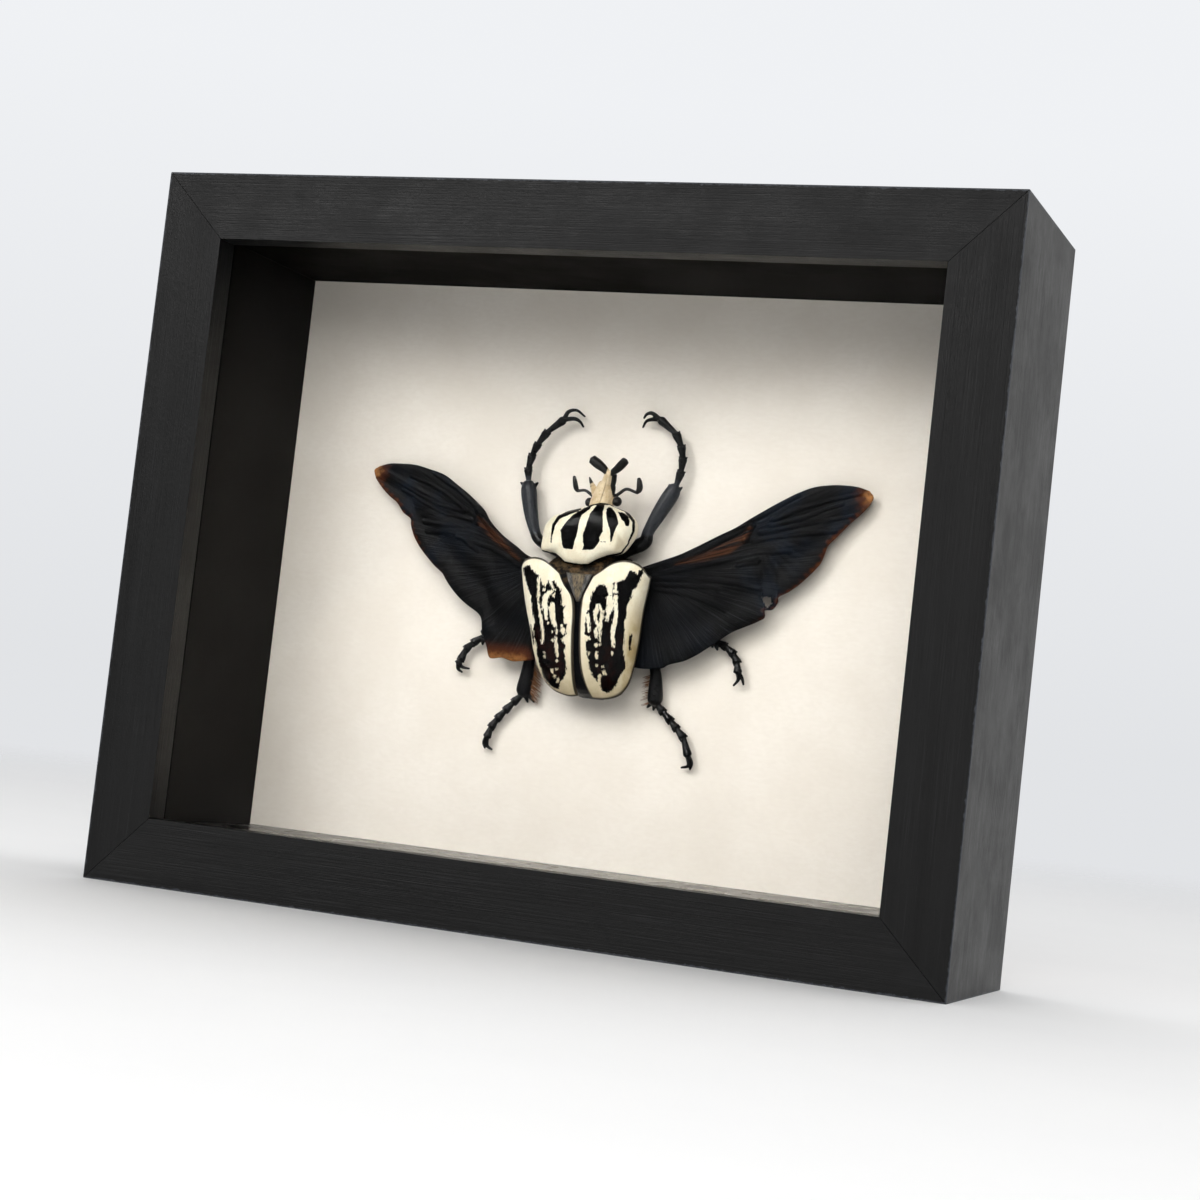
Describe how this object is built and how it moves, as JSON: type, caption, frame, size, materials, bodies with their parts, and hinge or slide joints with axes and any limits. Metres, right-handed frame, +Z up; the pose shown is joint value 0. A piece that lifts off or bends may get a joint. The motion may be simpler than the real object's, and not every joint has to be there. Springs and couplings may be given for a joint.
{
  "type": "framed goliath beetle specimen",
  "caption": "Deep black wooden shadow-box frame with glass and cream backing, showing a goliath beetle with striped ivory and black wing cases and spread dark hind wings.",
  "frame": {"origin": "middle of the object's footprint, on the surface that the bottom rail stands on", "axes": "+X to the right as the beetle is seen through the glass, +Y towards the back, +Z up, along the beetle towards its head"},
  "size_m": [0.25, 0.0672, 0.204],
  "materials": {
    "black_wood": "black stain, satin, open grain",
    "black_liner": "black paint, satin",
    "clear_glass": "clear float glass",
    "cream_paper": "matt, faintly mottled",
    "hardboard": "plain hardboard",
    "steel": "bright zinc",
    "striped_chitin": "ivory with glossy black stripes",
    "beige_chitin": "satin beige",
    "dark_chitin": "dark brown, satin",
    "wing_membrane": "near black, veined, faint blue sheen",
    "leg_chitin": "black, satin"
  },
  "bodies": {
    "root": {"rail_top": "black_wood", "rail_bottom": "black_wood", "rail_left": "black_wood", "rail_right": "black_wood", "liner_top": "black_liner", "liner_bottom": "black_liner", "liner_left": "black_liner", "liner_right": "black_liner", "glass": "clear_glass", "backing_card": "cream_paper", "back_panel": "hardboard", "tab_1": "steel", "tab_2": "steel", "tab_3": "steel", "tab_4": "steel", "tab_5": "steel", "tab_6": "steel", "hanger": "steel", "hanger_nail_left": "steel", "hanger_nail_right": "steel", "head": "beige_chitin", "pronotum": "striped_chitin", "elytron_left": "striped_chitin", "elytron_right": "striped_chitin", "scutellum": "dark_chitin", "body": "dark_chitin", "hindwing_left": "wing_membrane", "hindwing_right": "wing_membrane", "foreleg_left": "leg_chitin", "foreleg_right": "leg_chitin", "middle_leg_left": "leg_chitin", "middle_leg_right": "leg_chitin", "hind_leg_left": "leg_chitin", "hind_leg_right": "leg_chitin"}
  },
  "joints": []
}
